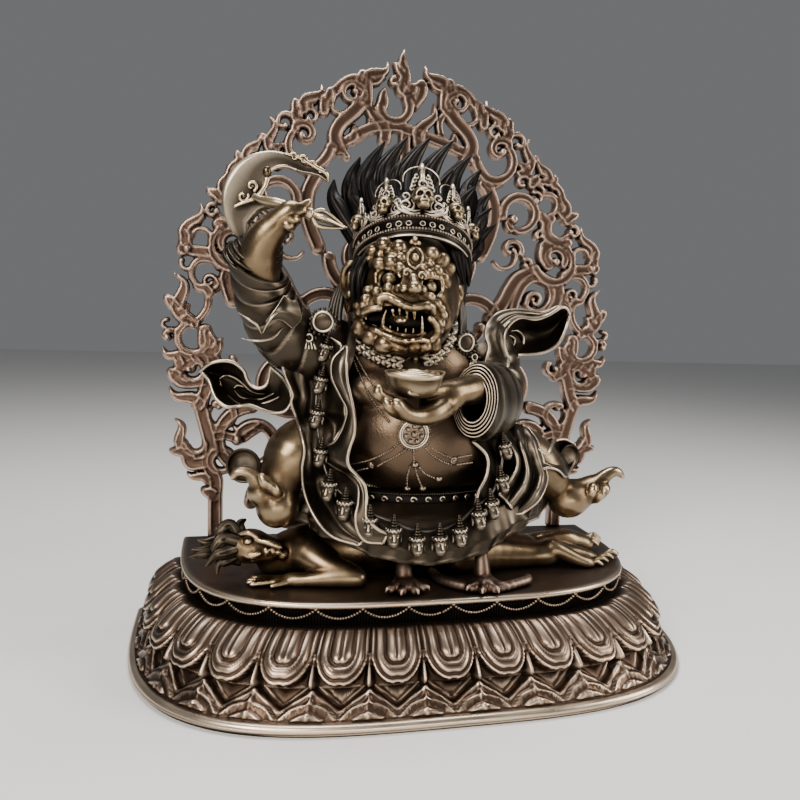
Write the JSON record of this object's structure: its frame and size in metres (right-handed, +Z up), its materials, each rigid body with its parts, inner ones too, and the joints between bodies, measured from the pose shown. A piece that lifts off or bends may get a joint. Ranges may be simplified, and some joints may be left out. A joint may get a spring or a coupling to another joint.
{
  "type": "mahakala figure",
  "caption": "Cast copper-alloy figure of a squat wrathful guardian in robes and a skull crown, on a prone body, with an openwork flame halo and a D-shaped lotus plinth.",
  "frame": {"origin": "middle of the plinth's underside, at the bottom centre of the bounding box", "axes": "+Z up, front towards -Y, +X to the viewer's right"},
  "size_m": [0.3, 0.15, 0.3312],
  "materials": {
    "plinth": "patinated copper with polished high points",
    "halo": "reddish patinated copper",
    "figure": "dark patinated copper, rubbed bright on edges",
    "knife": "brushed pale metal",
    "bowl": "golden polished metal"
  },
  "bodies": {
    "root": {"lotus_plinth": "plinth", "flame_halo": "halo", "mahakala_figure": "figure", "flaying_knife": "knife", "skull_bowl": "bowl"}
  },
  "joints": []
}
